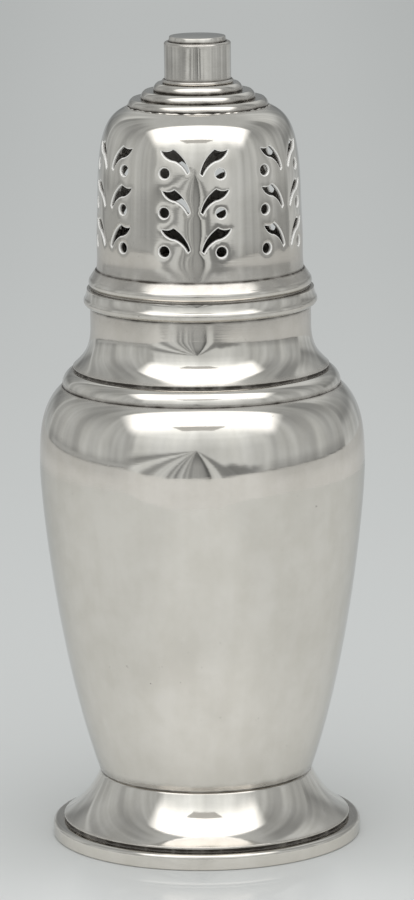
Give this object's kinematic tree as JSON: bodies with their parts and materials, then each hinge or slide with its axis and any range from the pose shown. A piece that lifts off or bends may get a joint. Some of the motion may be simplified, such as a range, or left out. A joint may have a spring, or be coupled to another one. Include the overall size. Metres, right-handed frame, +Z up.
{
  "type": "sugar caster",
  "caption": "Vase-shaped silver sugar shaker on a flared foot, with a pierced dome cover that pulls off the neck for filling.",
  "frame": {"origin": "middle of the face that the foot stands on", "axes": "+Z up along the axis that every piece is turned about, -Y towards the front leaves"},
  "size_m": [0.0684, 0.0684, 0.17],
  "materials": {
    "polished_silver": "polished, with fine wear and dark tarnish in the grooves",
    "worn_silver": "polished, worn by handling"
  },
  "bodies": {
    "vessel": {"foot_rim": "polished_silver", "foot": "polished_silver", "body": "polished_silver", "shoulder_ring": "polished_silver", "neck": "polished_silver", "neck_ring": "polished_silver"},
    "cover": {"cover_sleeve": "worn_silver", "cover_ring": "polished_silver", "dome": "polished_silver", "lower_step": "polished_silver", "middle_step": "polished_silver", "upper_step": "polished_silver", "finial_post": "worn_silver", "finial_disc": "polished_silver"}
  },
  "joints": [
    {"name": "cover_lift", "type": "slide", "parent": "vessel", "child": "cover", "axis": [0, 0, 1], "range_m": [0, 0.05]}
  ]
}
